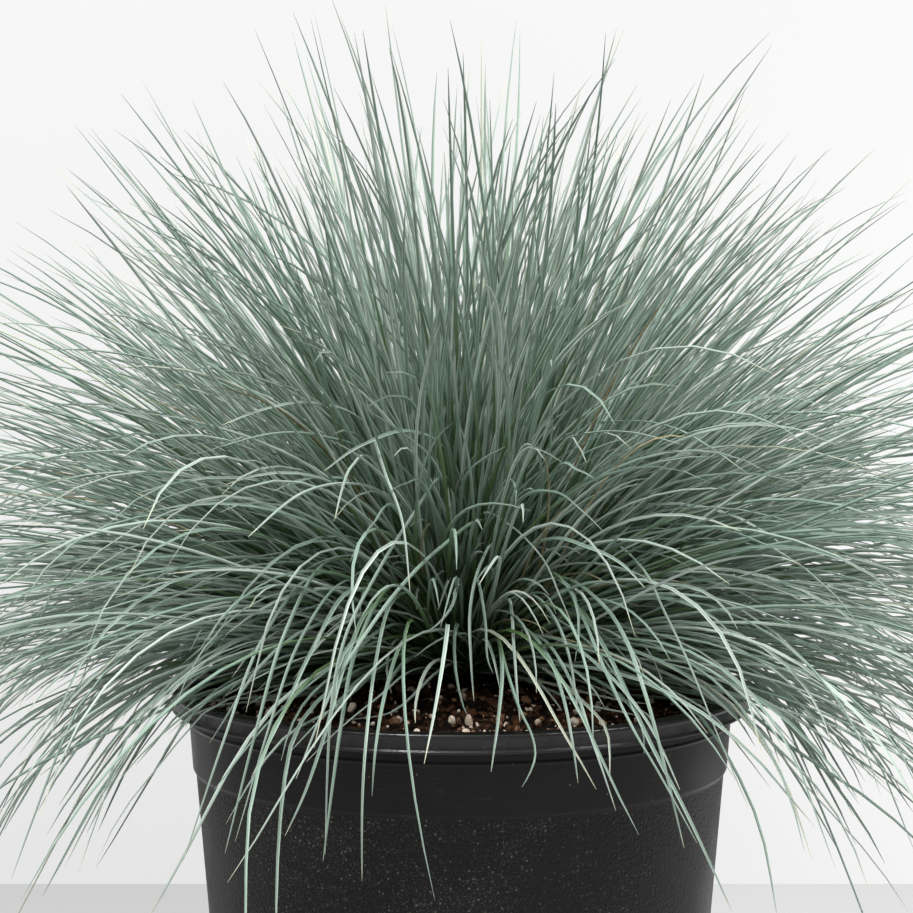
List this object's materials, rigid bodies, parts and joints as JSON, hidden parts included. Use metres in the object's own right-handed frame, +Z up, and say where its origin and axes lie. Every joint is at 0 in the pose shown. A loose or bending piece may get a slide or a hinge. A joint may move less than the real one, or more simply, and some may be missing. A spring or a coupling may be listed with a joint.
{
  "type": "potted blue fescue clump",
  "caption": "Rounded clump of fine blue-green needle-like grass blades that arch out from a crown in a tapered black nursery pot filled with potting mix.",
  "frame": {"origin": "centre of the pot's underside, on the surface it stands on", "axes": "+Z up, -Y towards the side that the picture shows"},
  "size_m": [0.3768, 0.3696, 0.3568],
  "materials": {
    "pot_plastic": "black recycled plastic, satin on the lip and band, fine pebbled texture below the step, a little dust",
    "potting_mix": "dark brown peat and bark mix with cream perlite grains, matte",
    "crown": "woody knot under green leaf sheaths, matte",
    "blades": "blue-green leaf blades with a pale waxy bloom, greener at the base, pale tips"
  },
  "bodies": {
    "root": {"nursery_pot": "pot_plastic", "potting_mix": "potting_mix", "crown": "crown", "tiller_01": "blades", "tiller_02": "blades", "tiller_03": "blades", "tiller_04": "blades", "tiller_05": "blades", "tiller_06": "blades", "tiller_07": "blades", "tiller_08": "blades", "tiller_09": "blades", "tiller_10": "blades", "tiller_11": "blades", "tiller_12": "blades", "tiller_13": "blades", "tiller_14": "blades", "tiller_15": "blades", "tiller_16": "blades", "tiller_17": "blades", "tiller_18": "blades", "tiller_19": "blades", "tiller_20": "blades", "tiller_21": "blades", "tiller_22": "blades", "tiller_23": "blades", "tiller_24": "blades", "tiller_25": "blades", "tiller_26": "blades", "tiller_27": "blades", "tiller_28": "blades", "tiller_29": "blades", "tiller_30": "blades", "tiller_31": "blades", "tiller_32": "blades", "tiller_33": "blades", "tiller_34": "blades", "tiller_35": "blades", "tiller_36": "blades", "tiller_37": "blades", "tiller_38": "blades", "tiller_39": "blades", "tiller_40": "blades", "tiller_41": "blades", "tiller_42": "blades", "tiller_43": "blades", "tiller_44": "blades", "tiller_45": "blades", "tiller_46": "blades", "tiller_47": "blades", "tiller_48": "blades"}
  },
  "joints": []
}
